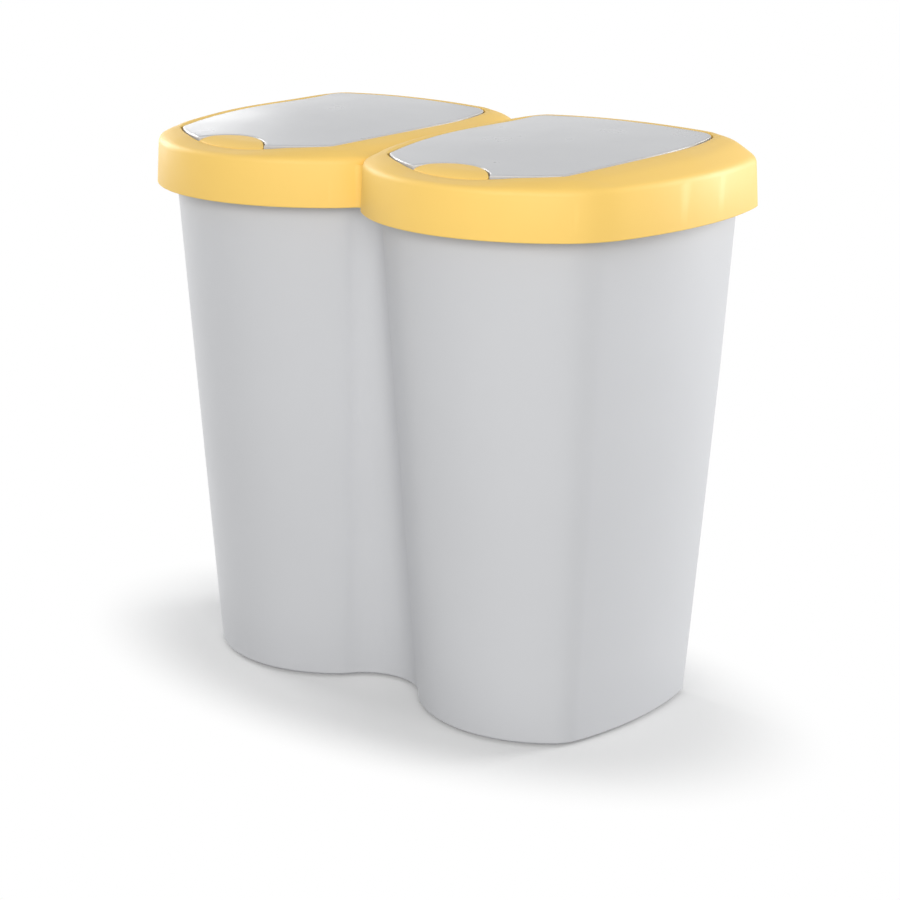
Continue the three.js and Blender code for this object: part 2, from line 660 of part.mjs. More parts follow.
// ---------- springs ----------
// A round wire along a list of points, as one closed tube.
function wire(points, radius) {
  const path = points.map((p) => new THREE.Vector3(...p));
  const vertices = [];
  let side = null;
  path.forEach((p, i) => {
    const before = path[Math.max(i - 1, 0)];
    const after = path[Math.min(i + 1, path.length - 1)];
    const forward = after.clone().sub(before).normalize();
    side ??= new THREE.Vector3(0.3, 0.5, 0.8).cross(forward);
    side.addScaledVector(forward, -side.dot(forward)).normalize();
    const other = forward.clone().cross(side);
    for (let k = 0; k < WIRE_SIDES; k++) {
      const angle = (2 * Math.PI * k) / WIRE_SIDES;
      const v = p.clone()
        .addScaledVector(side, radius * Math.cos(angle))
        .addScaledVector(other, radius * Math.sin(angle));
      vertices.push(v.x, v.y, v.z);
    }
  });
  const faces = [];
  for (let i = 0; i < path.length - 1; i++) {
    for (let k = 0; k < WIRE_SIDES; k++) {
      const a = i * WIRE_SIDES + k;
      const b = i * WIRE_SIDES + ((k + 1) % WIRE_SIDES);
      faces.push(a, b, b + WIRE_SIDES, a, b + WIRE_SIDES, a + WIRE_SIDES);
    }
  }
  const end = (path.length - 1) * WIRE_SIDES;
  for (let k = 1; k < WIRE_SIDES - 1; k++) faces.push(0, k + 1, k, end, end + k, end + k + 1);
  const geometry = new THREE.BufferGeometry();
  geometry.setAttribute("position", new THREE.Float32BufferAttribute(vertices, 3));
  geometry.setIndex(faces);
  return solid(geometry);
}

// The least gap between stretches of a wire that are at least half a turn apart along it.
function leastGap(points, radius) {
  let least = Infinity;
  for (let i = 0; i < points.length; i++) {
    for (let j = i + COIL_STEPS / 2; j < points.length; j++) {
      const apart = Math.hypot(...points[i].map((v, axis) => v - points[j][axis]));
      least = Math.min(least, apart - 2 * radius);
    }
  }
  return least;
}

function pushSpringPoints() {
  const { x, y, wireR, coilR, turns, from, to } = PUSH_SPRING;
  const steps = turns * COIL_STEPS;
  return Array.from({ length: steps + 1 }, (_, i) => {
    const angle = (2 * Math.PI * i) / COIL_STEPS;
    const z = from + wireR + ((to - from - 2 * wireR) * i) / steps;
    return [x + coilR * Math.cos(angle), y + coilR * Math.sin(angle), z];
  });
}

// Turns round the hinge pin, one leg forward under the flap and one down and out to the collar.
function flapSpringPoints() {
  const { coilR, turns, from, to } = FLAP_SPRING;
  const steps = turns * COIL_STEPS;
  const coil = Array.from({ length: steps + 1 }, (_, i) => {
    const angle = Math.PI / 2 + (2 * Math.PI * i) / COIL_STEPS;
    const y = HINGE.y - coilR * Math.cos(angle);
    return [from + ((to - from) * i) / steps, y, HINGE.z + coilR * Math.sin(angle)];
  });
  const [endX] = coil.at(-1);
  const low = HINGE.z - coilR;
  const forwardLeg = [
    [from, HINGE.y - 22, HINGE.z + coilR + 2],
    [from, HINGE.y - 12, HINGE.z + coilR + 0.8],
    [from, HINGE.y - 3, HINGE.z + coilR + 0.1],
  ];
  const fixedLeg = [
    [endX, HINGE.y - 3, low - 0.2],
    [endX + 0.2, HINGE.y - 6.5, low - 1.5],
    [endX + 1.5, HINGE.y - 8, low - 2.5],
    [endX + 8.3, HINGE.y - 8, low - 2.5],
  ];
  return [...forwardLeg, ...coil, ...fixedLeg];
}

// ---------- assembly ----------
const bin = new THREE.Group();

function place(group, name, manifold, material) {
  const mesh = new THREE.Mesh(geometryOf(manifold), material);
  mesh.name = name;
  group.add(mesh);
  return mesh;
}

place(bin, "bin_body", makeBody(), greyPlastic);
const lid = new THREE.Group();
bin.add(lid);
place(lid, "lid_frame", makeLidFrame(), yellowPlastic);

const flap = makeFlap();
const button = makeButton();
const carrier = makeCarrier();
const flapSpring = flapSpringPoints();
const pushSpring = pushSpringPoints();
const pin = (side, inner) => sideRod(side, HINGE.pinR, inner - PIN_INSIDE, HINGE.bossEnd);

for (const [label, x] of [["left", -PITCH / 2], ["right", PITCH / 2]]) {
  const half = new THREE.Group();
  half.position.x = x;
  lid.add(half);
  place(half, "flap_" + label, flap, flapPlastic);
  place(half, "push_button_" + label, button, yellowPlastic);
  place(half, "latch_carrier_" + label, carrier, innerPlastic);
  place(half, "hinge_pin_" + label + "_1", pin(-1, EAR.inner), steel);
  place(half, "hinge_pin_" + label + "_2", pin(1, FLAP_SPRING.from), steel);
  place(half, "flap_spring_" + label, wire(flapSpring, FLAP_SPRING.wireR), steel);
  for (const [number, side] of [["1", -1], ["2", 1]]) {
    const points = pushSpring.map(([px, py, pz]) => [px + (side - 1) * PUSH_SPRING.x, py, pz]);
    place(half, "button_spring_" + label + "_" + number, wire(points, PUSH_SPRING.wireR), steel);
  }
}

console.log("least gap in a flap spring", leastGap(flapSpring, FLAP_SPRING.wireR).toFixed(2), "mm");
console.log("least gap in a button spring", leastGap(pushSpring, PUSH_SPRING.wireR).toFixed(2), "mm");

export default bin;
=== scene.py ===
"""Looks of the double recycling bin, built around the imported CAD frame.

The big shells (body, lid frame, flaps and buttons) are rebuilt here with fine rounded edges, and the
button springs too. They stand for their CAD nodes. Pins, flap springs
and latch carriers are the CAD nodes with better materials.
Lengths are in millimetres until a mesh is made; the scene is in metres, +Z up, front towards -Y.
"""

import math

import bpy
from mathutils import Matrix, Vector


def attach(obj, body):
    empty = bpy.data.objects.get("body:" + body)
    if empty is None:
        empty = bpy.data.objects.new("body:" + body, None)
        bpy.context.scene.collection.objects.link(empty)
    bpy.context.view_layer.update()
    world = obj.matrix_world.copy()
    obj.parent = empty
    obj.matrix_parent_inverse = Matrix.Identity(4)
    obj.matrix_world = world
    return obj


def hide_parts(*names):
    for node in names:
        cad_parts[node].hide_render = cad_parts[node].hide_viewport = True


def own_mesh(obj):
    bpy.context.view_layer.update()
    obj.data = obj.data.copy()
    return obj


MM = 0.001

# ---------- sizes, the same as those of the CAD part ----------
PITCH = 250.0  # between the middles of the two halves
HALF_PLAN = dict(
    half_width=129.1, front=131.9, front_r=147.3, corner_r=68.0,
    side_r=339.0, side_y=27.5, back=131.9, back_r=14.0,
)
MOUTH_PLAN = dict(
    half_width=108.3, front=128.0, front_r=140.5, corner_r=9.0,
    side_r=440.0, side_y=20.0, back=118.4, back_r=17.0,
)
LEAST_BACK_R = 4.0
VALLEY_R = 22.3
SKIRT_BOTTOM = 447.0
BELOW_LID, ABOVE_LID = 430.0, 530.0
BODY_DRAFT = 0.0664
BODY_WALL = 2.6
WALL_FOOT = 2.7
FOOT_ROUND = 1.6
RIM_INSET, RIM_WIDTH = 6.0, 3.0
FLOOR_UNDER, FLOOR_TOP = 5.0, 8.0
DIVIDER, DIVIDER_DRAFT = 3.0, 0.006
CHAMBER_CORNER_R = 10.0
CHAMBER_FLOOR_ROUND = 4.0
RIM_TOP = 471.0
FLANGE = dict(reach=9.0, thick=2.8, lip_depth=10.0, lip_thick=2.2)
SKIRT_GROW, SKIRT_LEAN = 17.8, 2.2
WALL_TOP, SHOULDER_CORNER, SHOULDER_REACH = 483.5, 488.3, 5.0
LID_WALL = 2.5
KINK_ALONG, KINK_UP = 0.55, 0.75
COLLAR_DEPTH, COLLAR_THICK = 13.0, 2.2
CREST = dict(outside=4.2, above=1.35, fade_from=-78.0, fade_to=-98.0)
BACK_CREST = dict(above=0.4, start=92.0, end=112.0)
CROWN = dict(middle=508.4, rise=0.066, bend=3.9e-4, half_span=104.0, length=134.5)
DROOP = dict(middle=5.66, rise=0.027)
FRONT_LIFT = (-84.0, 0.03)
FRONT_DIPS = ((-96.0, 0.04), (-114.6, 0.17))
EDGE_BELOW_CROWN = 0.85
FLAP = dict(gap=1.8, thick=2.4, rim_depth=6.0, rim_thick=2.0, notch_gap=1.2, edge_round=1.5)
FLAP_MIDDLE = (0.0, 12.0)
FLAP_SHARES = (0.98, 0.94, 0.88, 0.8, 0.7, 0.6, 0.5, 0.4, 0.3, 0.2, 0.1, 0.03)
FAN_STEP = 0.0008  # the least angle between two spokes of a flap
FLAP_TAPER = (66.0, 0.17)  # the flap's half-width falls by this share behind this line
HINGE = dict(y=90.0, z=497.0, boss_r=3.8, hole_r=2.35, boss_end=110.0, swing_gap=0.6)
EAR = dict(inner=95.8, outer=100.4, half=5.5, bottom=491.8, top=503.0)
TONGUE = dict(half=9.0, set_back=1.5, bottom=480.0, top=496.5, barb=1.4, barb_top=483.0)
BUTTON = dict(half=38.5, back_arc_r=51.0, back_y=-102.0, seam=0.4, bottom=483.0, edge_round=1.0)
BUTTON_ROUND = 14.0
BUTTON_MIDDLE = (0.0, -115.0)
BUTTON_SHARES = (0.93, 0.8, 0.65, 0.5, 0.35, 0.2, 0.06)
BUTTON_WALL = 2.0
BUTTON_TOP_THICK = 2.4
WINDOW = dict(half=9.0, front=-108.5, back=-100.5, top=490.5)
TAB = dict(x=33.0, bottom=483.0, top=485.0, root=1.6, reach=3.4)
STUD = dict(x=48.0, y=-110.0, r=2.0, head_r=3.2, head_z=473.5, head_top=476.6, shelf_z=482.5, shelf_thick=2.5)
BUTTON_SPRING = dict(x=20.0, y=-116.5, wire_r=0.45, coil_r=3.0, turns=5, bottom=479.5, top=492.0)
RIB = dict(thick=2.4, bottom=453.0, top=479.0, seat=471.3, clear=0.3)
WEB = dict(thick=3.0, front=-64.0, back=116.0)

# ---------- the photograph's camera ----------
CAMERA_AT = (1.269, -1.485, 0.778)
CAMERA_TURN = math.radians(40.0)
CAMERA_DOWN = math.radians(16.17)
CAMERA_LENS = 89.16

# ---------- floor and room ----------
FLOOR_BOUNCE = (0.5, 0.5, 0.5)
# Painted shade on the floor: near the bin its seen colour is darker than the white further out, lifted a
# little, and fades to plain white between the two reaches of the fade; the lamps' real shadows fall on it
# too.
FLOOR_SEEN_NEAR_SHADED = (0.74, 0.74, 0.74)
FLOOR_LIFT = 0.08
FLOOR_PAINTED_SHADE_FADE = (0.14, 0.23)
FLOOR_PAINTED_SHADE_SQUEEZE = (0.55, 1.0, 1.0)  # the painted shade of the near floor reaches further along the bin than across it
ROOM = ((0.96, 0.98, 1.0), 0.38)


# ---------- plan outlines ----------
def share(value, start, end):
    return min(1.0, max(0.0, (value - start) / (end - start)))


def heading(a, b):
    return math.atan2(b[1] - a[1], b[0] - a[0])


def arc(centre, radius, start, end, steps):
    """Points along an arc, without its last one."""
    turn = (end - start) / steps
    return [
        (centre[0] + radius * math.cos(start + turn * i),
         centre[1] + radius * math.sin(start + turn * i))
        for i in range(steps)
    ]


def meet(c1, r1, c2, r2):
    """The front right one of the two points that are r1 from c1 and r2 from c2."""
    apart = math.dist(c1, c2)
    along = (r1 * r1 - r2 * r2 + apart * apart) / (2 * apart)
    off = math.sqrt(r1 * r1 - along * along)
    ux, uy = (c2[0] - c1[0]) / apart, (c2[1] - c1[1]) / apart
    both = [
        (c1[0] + along * ux - s * off * uy, c1[1] + along * uy + s * off * ux) for s in (1, -1)
    ]
    return max(both, key=lambda p: p[0] - p[1])


def side_arcs(plan, grow):
    """Centres and radii of the arcs of one half's right side, grown outwards by grow."""
    a = dict(
        front_r=plan["front_r"] + grow,
        corner_r=plan["corner_r"] + grow,
        side_r=plan["side_r"] + grow,
        back_r=max(plan["back_r"] + grow, min(plan["back_r"], LEAST_BACK_R)),
        back=plan["back"] + grow,
        front_c=(0.0, plan["front_r"] - plan["front"]),
        side_c=(plan["half_width"] - plan["side_r"], plan["side_y"]),
    )
    a["corner_c"] = meet(
        a["front_c"], a["front_r"] - a["corner_r"], a["side_c"], a["side_r"] - a["corner_r"]
    )
    reach = math.sqrt(
        (a["side_r"] - a["back_r"]) ** 2 - (a["back"] - a["back_r"] - plan["side_y"]) ** 2
    )
    a["back_c"] = (a["side_c"][0] + reach, a["back"] - a["back_r"])
    return a


def corner_to_back(a):
    front_c, corner_c, side_c, back_c = a["front_c"], a["corner_c"], a["side_c"], a["back_c"]
    return [
        *arc(corner_c, a["corner_r"], heading(front_c, corner_c), heading(side_c, corner_c), 14),
        *arc(side_c, a["side_r"], heading(side_c, corner_c), heading(side_c, back_c), 22),
        *arc(back_c, a["back_r"], heading(side_c, back_c), math.pi / 2, 12),
        (back_c[0], a["back"]),
    ]


def moved(points, dx):
    return [(x + dx, y) for x, y in points]


def mirrored(points):
    return [(-x, y) for x, y in reversed(points)]


def half_ring(plan, grow, centre_x=0.0):
    """The closed outline of one half, counterclockwise from the middle of its front."""
    a = side_arcs(plan, grow)
    end = heading(a["front_c"], a["corner_c"])
    right = arc(a["front_c"], a["front_r"], -math.pi / 2, end, 22) + corner_to_back(a)
    back_x = right[-1][0]
    back = [(back_x * (1 - i / 8), a["back"]) for i in range(1, 8)]
    return moved([*right, *back, (0.0, a["back"]), *mirrored(back), *mirrored(right[1:])], centre_x)


def right_of_both(grow):
    a = side_arcs(HALF_PLAN, grow)
    front_angle = heading(a["front_c"], a["corner_c"])
    crease_c = (PITCH / 2 - a["corner_c"][0], a["corner_c"][1])
    reach = HALF_PLAN["corner_r"] + VALLEY_R
    valley_c = (0.0, crease_c[1] - math.sqrt(reach ** 2 - crease_c[0] ** 2))
    turn = heading(valley_c, crease_c)
    rest = [
        *arc(crease_c, a["corner_r"], turn + math.pi, math.pi - front_angle, 8),
        *moved(arc(a["front_c"], a["front_r"], -math.pi - front_angle, front_angle, 44), PITCH / 2),
        *moved(corner_to_back(a), PITCH / 2),
    ]
    return valley_c, VALLEY_R - grow, turn, rest, a["back"]


def both_ring(grow):
    """The closed outline of both halves together."""
    valley_c, valley_r, turn, rest, back = right_of_both(grow)
    right = arc(valley_c, valley_r, math.pi / 2, turn, 14) + rest
    across = [(right[-1][0] * (1 - i / 12), back) for i in range(1, 12)]
    return [*right, *across, (0.0, back), *mirrored(across), *mirrored(right[1:])]


def chamber_ring(grow, face):
    """The outline of the right chamber, with the divider's face at x = face."""
    valley_c, valley_r, turn, rest, back = right_of_both(grow)
    start = math.acos(face / valley_r)
    r = CHAMBER_CORNER_R
    return [
        *arc(valley_c, valley_r, start, turn, 12),
        *rest,
        *arc((face + r, back - r), r, math.pi / 2, math.pi, 8),
        (face, back - r),
    ]


# ---------- the crowned surface ----------
def in_front(rule, y):
    start, slope = rule
    return slope * max(0.0, start - y)


def crown(x, y):
    droop = (DROOP["middle"] + DROOP["rise"] * y) * (1 - (y / CROWN["length"]) ** 4)
    arch = CROWN["middle"] + CROWN["rise"] * y - CROWN["bend"] * y * y + in_front(FRONT_LIFT, y)
    return arch - droop * (x / CROWN["half_span"]) ** 2


def mouth_edge(x, y):
    return crown(x, y) - EDGE_BELOW_CROWN - sum(in_front(dip, y) for dip in FRONT_DIPS)


# ---------- meshes ----------
def mesh_object(name, vertices, faces):
    mesh = bpy.data.meshes.new(name)
    mesh.from_pydata([Vector(v) * MM for v in vertices], [], faces)
    mesh.validate()
    obj = bpy.data.objects.new(name, mesh)
    bpy.context.scene.collection.objects.link(obj)
    return obj


def at_z(ring, z):
    return [(x, y, z) for x, y in ring]


def loft(name, rings, closed=False):
    """A closed solid through rings of the same number of points, lowest ring first.
    With closed, the last ring joins the first one and there are no end caps."""
    count = len(rings[0])
    vertices = [v for ring in rings for v in ring]
    faces = []
    levels = len(rings)
    for k in range(levels if closed else levels - 1):
        low, high = k * count, ((k + 1) % levels) * count
        for i in range(count):
            j = (i + 1) % count
            faces.append((low + i, low + j, high + j, high + i))
    if not closed:
        faces.append(tuple(reversed(range(count))))
        faces.append(tuple(range((levels - 1) * count, levels * count)))
    return mesh_object(name, vertices, faces)


def prism(ring, bottom, top):
    return loft("prism", [at_z(ring, bottom), at_z(ring, top)])


def block(x0, x1, y0, y1, z0, z1):
    return prism([(x0, y0), (x1, y0), (x1, y1), (x0, y1)], z0, z1)


def turned(x, y, radius, sides=48):
    step = 2 * math.pi / sides
    return [(x + radius * math.cos(step * i), y + radius * math.sin(step * i)) for i in range(sides)]


def rod_along_x(radius, x0, x1, y, z):
    ring = turned(0, 0, radius, 40)
    ends = [[(x, y + a, z + b) for a, b in ring] for x in (x0, x1)]
    return loft("rod", ends)


def combine(base, others, operation, solver="MANIFOLD"):
    """Joins others to base, cuts them from it or keeps what they share, and deletes them."""
    for other in others:
        step = base.modifiers.new("step", "BOOLEAN")
        step.operation = operation
        step.solver = solver
        step.object = other
        apply_modifiers(base)
        bpy.data.objects.remove(other)
    return base


def apply_modifiers(obj):
    depsgraph = bpy.context.evaluated_depsgraph_get()
    mesh = bpy.data.meshes.new_from_object(obj.evaluated_get(depsgraph))
    obj.modifiers.clear()
    old = obj.data
    obj.data = mesh
    bpy.data.meshes.remove(old)


def smooth(obj, angle=32):
    obj.data.shade_smooth()
    obj.data.set_sharp_from_angle(angle=math.radians(angle))


def mirrored_copy(obj):
    copy = mesh_object("mirror", [(-v.co.x / MM, v.co.y / MM, v.co.z / MM) for v in obj.data.vertices],
                       [tuple(reversed(p.vertices)) for p in obj.data.polygons])
    return copy


def shifted(obj, dx):
    for v in obj.data.vertices:
        v.co.x += dx * MM
    return obj


# ---------- materials ----------
# Scale and detail of each noise: colour, gloss and moulded grain
CLOUD_NOISE, SMEAR_NOISE, SKIN_NOISE = (7.0, 3.0), (24.0, 4.0), (1400.0, 2.0)


def plastic(name, colour, roughness, coat=0.0, grain=0.02, haze=0.012):
    """Moulded plastic: a fine grain in the skin, and a faint unevenness of colour and gloss."""
    material = bpy.data.materials.new(name)
    material.use_nodes = True
    nodes, links = material.node_tree.nodes, material.node_tree.links
    shader = nodes["Principled BSDF"]
    shader.inputs["IOR"].default_value = 1.49
    shader.inputs["Coat Weight"].default_value = coat
    shader.inputs["Coat Roughness"].default_value = 0.25
    place = nodes.new("ShaderNodeTexCoord")

    def noise(scale, detail):
        node = nodes.new("ShaderNodeTexNoise")
        node.inputs["Scale"].default_value = scale
        node.inputs["Detail"].default_value = detail
        links.new(place.outputs["Object"], node.inputs["Vector"])
        return node

    def spread(source, low, high):
        node = nodes.new("ShaderNodeMapRange")
        node.inputs["From Min"].default_value = 0.3
        node.inputs["From Max"].default_value = 0.7
        node.inputs["To Min"].default_value = low
        node.inputs["To Max"].default_value = high
        links.new(source.outputs["Fac"], node.inputs["Value"])
        return node.outputs["Result"]

    clouds = noise(*CLOUD_NOISE)
    tone = nodes.new("ShaderNodeHueSaturation")
    tone.inputs["Color"].default_value = (*colour, 1.0)
    links.new(spread(clouds, 1.0 - haze, 1.0 + haze), tone.inputs["Value"])
    links.new(tone.outputs["Color"], shader.inputs["Base Color"])
    smears = noise(*SMEAR_NOISE)
    links.new(spread(smears, roughness - 0.03, roughness + 0.03), shader.inputs["Roughness"])
    skin = noise(*SKIN_NOISE)
    bump = nodes.new("ShaderNodeBump")
    bump.inputs["Strength"].default_value = grain
    bump.inputs["Distance"].default_value = 0.0004
    links.new(skin.outputs["Fac"], bump.inputs["Height"])
    links.new(bump.outputs["Normal"], shader.inputs["Normal"])
    return material


def brushed_steel(name):
    """Drawn steel wire: metal with a fine grain and a little unevenness of colour and gloss."""
    material = plastic(name, (0.55, 0.56, 0.58), 0.28, grain=0.05, haze=0.05)
    material.node_tree.nodes["Principled BSDF"].inputs["Metallic"].default_value = 1.0
    return material


def srgb(r, g, b):
    def linear(v):
        v /= 255
        return v / 12.92 if v <= 0.04045 else ((v + 0.055) / 1.055) ** 2.4
    return tuple(linear(v) for v in (r, g, b))


# ---------- body ----------
def body_grow(z):
    return -BODY_DRAFT * (SKIRT_BOTTOM - z)


def rounded(grow, z, radius, start, end, steps=4):
    """Levels round an edge: pairs of growth and height about a point inside the edge."""
    return [
        (grow + radius * math.cos(math.radians(a)), z + radius * math.sin(math.radians(a)))
        for a in (start + (end - start) * i / steps for i in range(steps + 1))
    ]


def make_body():
    foot = body_grow(WALL_FOOT)
    levels = rounded(foot - FOOT_ROUND, WALL_FOOT + FOOT_ROUND, FOOT_ROUND, -90, 0, 5)
    levels += [(body_grow(z), z) for z in (60, 180, 300, SKIRT_BOTTOM, RIM_TOP)]
    body = loft("body_shell", [at_z(both_ring(g), z) for g, z in levels])
    rim = body_grow(RIM_TOP) + FLANGE["reach"]
    low = RIM_TOP - FLANGE["lip_depth"]
    lip = loft("lip", [
        at_z(both_ring(g), z) for g, z in
        [(rim - 0.6, low), (rim, low + 0.6), *rounded(rim - 1, RIM_TOP - 1, 1, 0, 90)]
    ])
    under = prism(both_ring(rim - FLANGE["lip_thick"]), low - 1, RIM_TOP - FLANGE["thick"])
    standing = prism(both_ring(foot - RIM_INSET), 0, FLOOR_UNDER)
    recess = prism(both_ring(foot - RIM_INSET - RIM_WIDTH), -1, FLOOR_UNDER)
    combine(lip, [under], "DIFFERENCE")
    combine(body, [lip, standing], "UNION")
    rings = []
    inset = CHAMBER_FLOOR_ROUND
    for g, z in [*rounded(-inset, FLOOR_TOP + inset, inset, -90, 0, 5), (0, 240), (0, RIM_TOP + 1)]:
        face = DIVIDER / 2 + DIVIDER_DRAFT * (RIM_TOP - z) - g
        rings.append(at_z(chamber_ring(body_grow(z) - BODY_WALL + g, face), z))
    chamber = loft("chamber", rings)
    return combine(body, [recess, mirrored_copy(chamber), chamber], "DIFFERENCE")


# ---------- lid frame ----------
def lid_half(wall):
    """The outside of one half of the lid, or with wall > 0 the space under its shell."""
    foot = half_ring(HALF_PLAN, SKIRT_GROW - wall)
    outer = half_ring(HALF_PLAN, SKIRT_GROW - SKIRT_LEAN - wall)
    edge = half_ring(MOUTH_PLAN, 0)
    wide = half_ring(MOUTH_PLAN, CREST["outside"])
    crest, crest_z = [], []
    for (ex, ey), (wx, wy) in zip(edge, wide):
        up = share(ey, CREST["fade_to"], CREST["fade_from"])
        lower = (CREST["above"] - BACK_CREST["above"]) * share(ey, BACK_CREST["start"], BACK_CREST["end"])
        crest.append((ex + (wx - ex) * up, ey + (wy - ey) * up))
        crest_z.append(mouth_edge(ex, ey) + CREST["above"] * up - lower)

    def between(i, s):
        return tuple(outer[i][k] + (crest[i][k] - outer[i][k]) * s for k in (0, 1))

    def band_z(i, s):
        """Height of the sloping band: straight, then steeper outside a soft kink."""
        rise = crest_z[i] - SHOULDER_CORNER
        soft = 0.16
        if abs(s - KINK_ALONG) < soft:
            t = (s - KINK_ALONG + soft) / (2 * soft)
            a = band_share(KINK_ALONG - soft)
            b = band_share(KINK_ALONG)
            c = band_share(KINK_ALONG + soft)
            part = (1 - t) ** 2 * a + 2 * t * (1 - t) * b + t * t * c
        else:
            part = band_share(s)
        return SHOULDER_CORNER + rise * part - wall

    def band_share(s):
        if s < KINK_ALONG:
            return s * KINK_UP / KINK_ALONG
        return KINK_UP + (s - KINK_ALONG) * (1 - KINK_UP) / (1 - KINK_ALONG)

    def shoulder(t):
        ring = []
        for i, p in enumerate(outer):
            s = SHOULDER_REACH / math.dist(p, crest[i])
            low, corner = WALL_TOP - wall / 2, SHOULDER_CORNER - wall
            z = (1 - t) ** 2 * low + 2 * t * (1 - t) * corner + t * t * band_z(i, s)
            ring.append((*between(i, s * t * t), z))
        return ring

    def band(s):
        return [(*between(i, s), band_z(i, s)) for i in range(len(outer))]

    rings = [at_z(foot, SKIRT_BOTTOM - (4 if wall else 0))]
    if not wall:
        rings = [
            at_z(half_ring(HALF_PLAN, g), z)
            for g, z in rounded(SKIRT_GROW - 0.8, SKIRT_BOTTOM + 0.8, 0.8, -90, 0, 3)
        ]
    steps = (0, 0.2, 0.4, 0.6, 0.8, 1) if not wall else (0, 1)
    rings += [shoulder(t) for t in steps]
    rings += [band(s) for s in ((0.25, 0.39, 0.47, 0.55, 0.63, 0.71, 0.86) if not wall else (0.55,))]
    if wall:
        rings.append(band(1))
        rings.append([(x * 0.1, y * 0.1, CROWN["middle"] - 2 - wall) for x, y in edge])
    else:
        # The crest turns over in a round, and falls to the mouth's edge.
        for s in (0, 0.12, 0.3, 0.5, 0.72, 0.9, 1.0):
            ring = []
            for i, (x, y) in enumerate(edge):
                px = crest[i][0] + (x - crest[i][0]) * s
                py = crest[i][1] + (y - crest[i][1]) * s
                fall = crest_z[i] - mouth_edge(x, y)
                ring.append((px, py, crest_z[i] - fall * s ** 1.7))
            rings.append(ring)
        rings.append([(x * 0.97, y * 0.97, mouth_edge(x, y) - 2.5) for x, y in edge])
        rings.append([(x * 0.1, y * 0.1, CROWN["middle"] - 6) for x, y in edge])
    return loft("lid_half", rings)


def skirt(wall):
    foot, top = SKIRT_GROW - wall, SKIRT_GROW - SKIRT_LEAN - wall
    levels = [(foot, SKIRT_BOTTOM - 4)] if wall else \
        rounded(foot - 0.8, SKIRT_BOTTOM + 0.8, 0.8, -90, 0, 3)
    levels.append((top, WALL_TOP - wall))
    return loft("skirt", [at_z(both_ring(g), z) for g, z in levels])


def collar():
    ring = half_ring(MOUTH_PLAN, COLLAR_THICK)
    return loft("collar", [
        [(x, y, mouth_edge(x, y) - COLLAR_DEPTH) for x, y in ring],
        [(x, y, mouth_edge(x, y) - 1.2) for x, y in ring],
    ])


def seat_ribs():
    a = side_arcs(HALF_PLAN, 0)
    right = [
        (a["front_c"], a["front_r"], -100), (a["front_c"], a["front_r"], -65),
        (a["corner_c"], a["corner_r"], -32), (a["side_c"], a["side_r"], -8),
        (a["side_c"], a["side_r"], 9), ((30, 0), a["back"], 90), ((-70, 0), a["back"], 90),
    ]
    lip = body_grow(RIM_TOP) + FLANGE["reach"]
    outer = SKIRT_GROW - SKIRT_LEAN - 1
    ribs = []
    for centre, radius, degrees in right:
        c, s = math.cos(math.radians(degrees)), math.sin(math.radians(degrees))
        for start, bottom in ((lip + RIB["clear"], RIB["bottom"]), (1, RIB["seat"])):
            half = RIB["thick"] / 2
            flat = [(radius + start, -half), (radius + outer, -half),
                    (radius + outer, half), (radius + start, half)]
            ring = [(centre[0] + PITCH / 2 + x * c - y * s, centre[1] + x * s + y * c)
                    for x, y in flat]
            rib = prism(ring, bottom, RIB["top"])
            ribs += [rib, mirrored_copy(rib)]
    return ribs


def mouth_half_width(y):
    p = MOUTH_PLAN
    return p["half_width"] - p["side_r"] + math.sqrt(p["side_r"] ** 2 - (y - p["side_y"]) ** 2)


def front_y(x, grow):
    p = MOUTH_PLAN
    return p["front_r"] - p["front"] - math.sqrt((p["front_r"] + grow) ** 2 - x * x)


def back_y(x, grow):
    r = BUTTON["back_arc_r"]
    return BUTTON["back_y"] - r + math.sqrt((r + grow) ** 2 - x * x)


def make_lid():
    centres = (-PITCH / 2, PITCH / 2)
    lid = combine(skirt(0), [shifted(lid_half(0), x) for x in centres], "UNION")
    outside = lid.copy()
    outside.data = lid.data.copy()
    bpy.context.scene.collection.objects.link(outside)
    combine(lid, [shifted(lid_half(LID_WALL), x) for x in centres] + [skirt(LID_WALL)], "DIFFERENCE")
    half = WEB["thick"] / 2
    inside = [block(-half, half, WEB["front"], WEB["back"], RIB["seat"], CROWN["middle"])]
    inside += seat_ribs()
    for x in centres:
        inside.append(shifted(collar(), x))
        for side in (-1, 1):
            near = mouth_half_width(HINGE["y"]) - 0.5
            ends = sorted((x + side * near, x + side * HINGE["boss_end"]))
            inside.append(rod_along_x(HINGE["boss_r"], *ends, HINGE["y"], HINGE["z"]))
    first, *others = inside
    combine(first, others, "UNION")
    combine(first, [outside], "INTERSECT")
    combine(lid, [first], "UNION")
    for x in centres:
        combine(lid, [prism(half_ring(MOUTH_PLAN, 0, x), BELOW_LID, ABOVE_LID)], "DIFFERENCE")
        for side in (-1, 1):
            at = x + side * STUD["x"]
            shelf = block(at - 4, at + 4, front_y(STUD["x"], 0) - 0.5, STUD["y"] + 4,
                          STUD["shelf_z"], STUD["shelf_z"] + STUD["shelf_thick"])
            neck = prism(turned(at, STUD["y"], STUD["r"]), STUD["head_z"], STUD["shelf_z"] + 0.5)
            head = prism(turned(at, STUD["y"], STUD["head_r"]), STUD["head_z"], STUD["head_top"])
            combine(lid, [shelf, neck, head], "UNION")
            ends = sorted((x + side * 101, x + side * 111))
            combine(lid, [rod_along_x(HINGE["hole_r"], *ends, HINGE["y"], HINGE["z"])], "DIFFERENCE")
    lid.name = "lid_shell"
    return lid


# ---------- flap ----------
def notch_front(x):
    return back_y(x, FLAP["notch_gap"])


def tapered(x, y):
    start, slope = FLAP_TAPER
    limit = mouth_half_width(start) - FLAP["gap"] - slope * (y - start)
    return min(limit, max(-limit, x)), y


